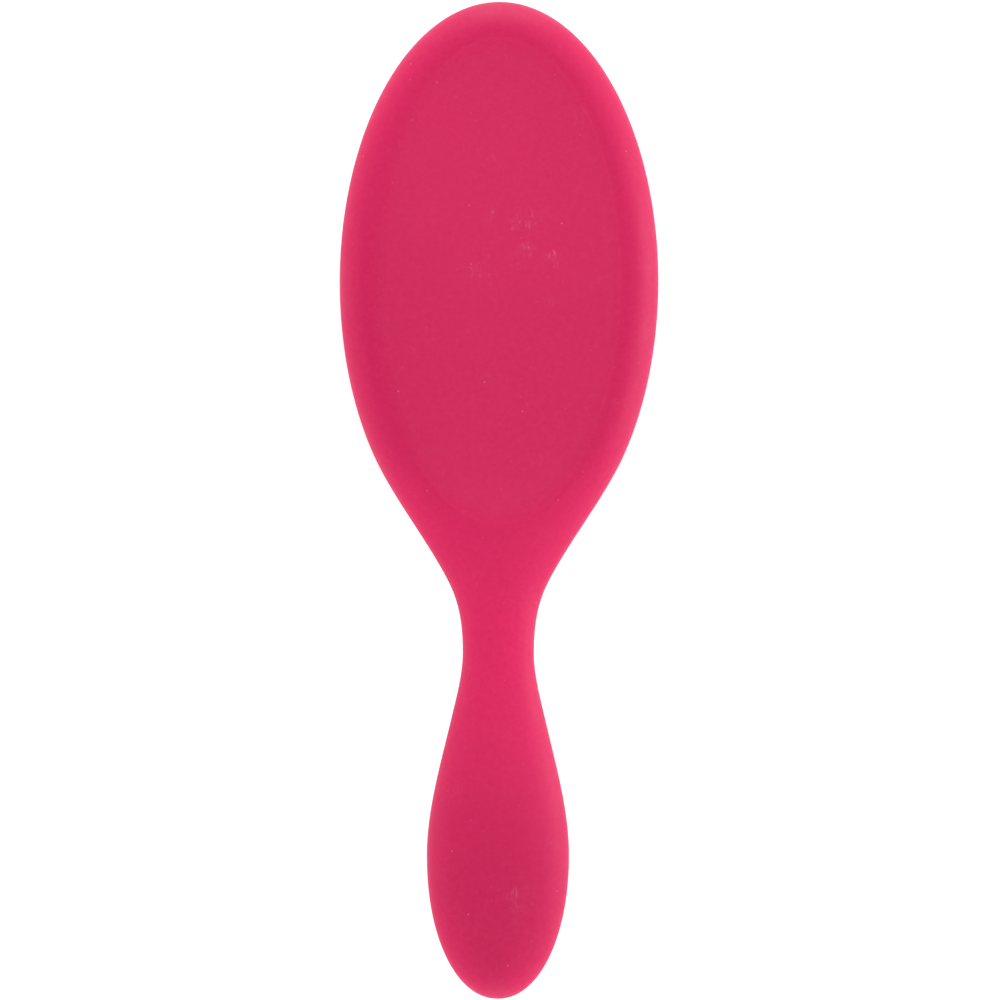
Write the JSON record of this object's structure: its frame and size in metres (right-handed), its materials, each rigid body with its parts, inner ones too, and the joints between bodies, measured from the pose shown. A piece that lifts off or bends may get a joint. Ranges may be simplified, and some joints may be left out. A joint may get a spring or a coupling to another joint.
{
  "type": "detangling hair brush",
  "caption": "Oval cushion detangling brush with a waisted handle, a rubber cushion and long ball-tipped pins.",
  "frame": {"origin": "on the plane of the pin tips, at the middle of the brush's length and width", "axes": "+Z from the pin tips to the smooth back, +Y along the brush from the handle to the head, +X across the head"},
  "size_m": [0.071, 0.222, 0.0349],
  "materials": {
    "soft_touch_body": "hot pink plastic with a soft-touch coat",
    "cushion_rubber": "smooth pink rubber",
    "pin_nylon": "pink nylon, slightly glossy"
  },
  "bodies": {
    "brush_body": {"back_shell": "soft_touch_body", "front_shell": "soft_touch_body"},
    "pin_bed": {"cushion": "cushion_rubber", "pin_row_01": "pin_nylon", "pin_row_02": "pin_nylon", "pin_row_03": "pin_nylon", "pin_row_04": "pin_nylon", "pin_row_05": "pin_nylon", "pin_row_06": "pin_nylon", "pin_row_07": "pin_nylon", "pin_row_08": "pin_nylon", "pin_row_09": "pin_nylon", "pin_row_10": "pin_nylon", "pin_row_11": "pin_nylon", "pin_row_12": "pin_nylon", "pin_row_13": "pin_nylon", "pin_row_14": "pin_nylon", "pin_row_15": "pin_nylon", "pin_row_16": "pin_nylon", "pin_row_17": "pin_nylon", "pin_row_18": "pin_nylon", "pin_row_19": "pin_nylon", "pin_row_20": "pin_nylon", "pin_row_21": "pin_nylon", "pin_row_22": "pin_nylon", "pin_row_23": "pin_nylon", "pin_row_24": "pin_nylon", "pin_row_25": "pin_nylon", "pin_row_26": "pin_nylon", "pin_row_27": "pin_nylon"}
  },
  "joints": [
    {"name": "cushion_press", "type": "slide", "parent": "brush_body", "child": "pin_bed", "axis": [0, 0, 1], "range_m": [0, 0.003], "stiffness_N_per_m": 2000, "deforming": ["cushion"]}
  ]
}
